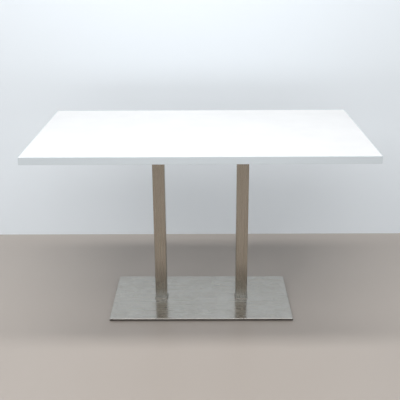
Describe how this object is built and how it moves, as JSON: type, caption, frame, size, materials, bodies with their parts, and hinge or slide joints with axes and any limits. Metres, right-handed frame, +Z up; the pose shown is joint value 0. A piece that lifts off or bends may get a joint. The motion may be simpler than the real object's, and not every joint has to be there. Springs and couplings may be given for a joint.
{
  "type": "bistro table",
  "caption": "Rectangular table with a white laminated top on square brushed steel columns welded to a flat steel base plate, with screw-adjustable levelling glides.",
  "frame": {"origin": "on the floor under the middle of the top, with the glides screwed right in", "axes": "+Z up, +X along the length of the top and through both columns, -Y towards the front"},
  "size_m": [1.3, 0.75, 0.76],
  "materials": {
    "white_laminate": "satin white high-pressure laminate",
    "white_edge_band": "satin white ABS edge band",
    "chipboard_core": "raw chipboard, seen only in the screw holes",
    "brushed_stainless": "brushed, grain along the piece",
    "stainless_weld": "TIG weld bead, brushed clean",
    "mild_steel": "sawn and machined mild steel",
    "black_powder_coat": "fine-textured black powder coat",
    "zinc_plated_steel": "bright zinc plating",
    "nylon_foot": "moulded black nylon"
  },
  "bodies": {
    "root": {"top_core": "chipboard_core", "top_laminate": "white_laminate", "underside_laminate": "white_laminate", "edge_band_front": "white_edge_band", "edge_band_back": "white_edge_band", "edge_band_left": "white_edge_band", "edge_band_right": "white_edge_band", "base_plate": "brushed_stainless", "column_left": "brushed_stainless", "foot_weld_left": "stainless_weld", "head_block_left": "mild_steel", "mounting_plate_left": "black_powder_coat", "head_screws_left": "zinc_plated_steel", "top_screws_left": "zinc_plated_steel", "column_right": "brushed_stainless", "foot_weld_right": "stainless_weld", "head_block_right": "mild_steel", "mounting_plate_right": "black_powder_coat", "head_screws_right": "zinc_plated_steel", "top_screws_right": "zinc_plated_steel"},
    "glide_foot_front_left": {"glide_foot_front_left": "nylon_foot"},
    "glide_stud_front_left": {"glide_stud_front_left": "zinc_plated_steel"},
    "glide_foot_front_right": {"glide_foot_front_right": "nylon_foot"},
    "glide_stud_front_right": {"glide_stud_front_right": "zinc_plated_steel"},
    "glide_foot_back_left": {"glide_foot_back_left": "nylon_foot"},
    "glide_stud_back_left": {"glide_stud_back_left": "zinc_plated_steel"},
    "glide_foot_back_right": {"glide_foot_back_right": "nylon_foot"},
    "glide_stud_back_right": {"glide_stud_back_right": "zinc_plated_steel"}
  },
  "joints": [
    {"name": "foot_travel_front_left", "type": "slide", "parent": "root", "child": "glide_foot_front_left", "axis": [0, 0, -1], "range_m": [0, 0.003]},
    {"name": "stud_turn_front_left", "type": "hinge", "parent": "glide_foot_front_left", "child": "glide_stud_front_left", "pos_m": [-0.34, -0.16, 0.003], "axis": [0, 0, -1], "range_deg": [0, 865]},
    {"name": "foot_travel_front_right", "type": "slide", "parent": "root", "child": "glide_foot_front_right", "axis": [0, 0, -1], "range_m": [0, 0.003]},
    {"name": "stud_turn_front_right", "type": "hinge", "parent": "glide_foot_front_right", "child": "glide_stud_front_right", "pos_m": [0.34, -0.16, 0.003], "axis": [0, 0, -1], "range_deg": [0, 865]},
    {"name": "foot_travel_back_left", "type": "slide", "parent": "root", "child": "glide_foot_back_left", "axis": [0, 0, -1], "range_m": [0, 0.003]},
    {"name": "stud_turn_back_left", "type": "hinge", "parent": "glide_foot_back_left", "child": "glide_stud_back_left", "pos_m": [-0.34, 0.16, 0.003], "axis": [0, 0, -1], "range_deg": [0, 865]},
    {"name": "foot_travel_back_right", "type": "slide", "parent": "root", "child": "glide_foot_back_right", "axis": [0, 0, -1], "range_m": [0, 0.003]},
    {"name": "stud_turn_back_right", "type": "hinge", "parent": "glide_foot_back_right", "child": "glide_stud_back_right", "pos_m": [0.34, 0.16, 0.003], "axis": [0, 0, -1], "range_deg": [0, 865]}
  ],
  "couplings": [
    {"joint": "stud_turn_front_left", "follows": "foot_travel_front_left", "rad_per_m": 5026.5},
    {"joint": "stud_turn_front_right", "follows": "foot_travel_front_right", "rad_per_m": 5026.5},
    {"joint": "stud_turn_back_left", "follows": "foot_travel_back_left", "rad_per_m": 5026.5},
    {"joint": "stud_turn_back_right", "follows": "foot_travel_back_right", "rad_per_m": 5026.5}
  ]
}
